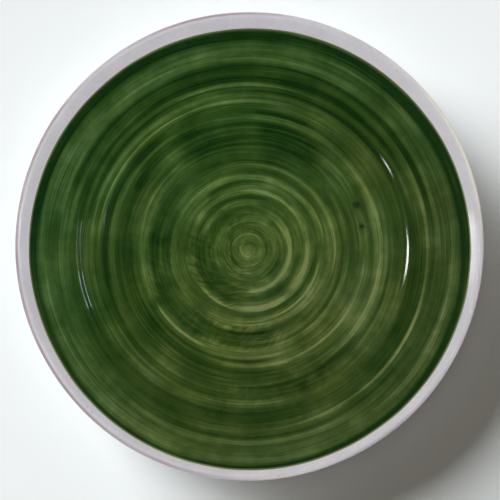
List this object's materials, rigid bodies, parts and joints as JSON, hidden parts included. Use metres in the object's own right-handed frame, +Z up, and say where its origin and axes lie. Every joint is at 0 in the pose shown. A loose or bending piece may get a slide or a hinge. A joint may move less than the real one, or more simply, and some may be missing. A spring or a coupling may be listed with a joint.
{
  "type": "dinner plate",
  "caption": "Round glazed ceramic dinner plate with a wide flange, a shallow well, a turned foot ring, and green glaze brushed in rings inside a white band.",
  "frame": {"origin": "on the table under the plate's centre, in the plane of the foot ring's lower face", "axes": "+Z up along the plate's axis through its face; +X and +Y are any two directions across the round plate, with +Y towards the top of the face as it is usually shown"},
  "size_m": [0.27, 0.27, 0.03],
  "materials": {
    "fired_clay": "matt, finely pitted",
    "white_glaze": "gloss",
    "green_glaze": "gloss, streaked by the brush"
  },
  "bodies": {
    "root": {"clay_body": "fired_clay", "white_glaze": "white_glaze", "foot_recess_glaze": "white_glaze", "green_glaze": "green_glaze"}
  },
  "joints": []
}
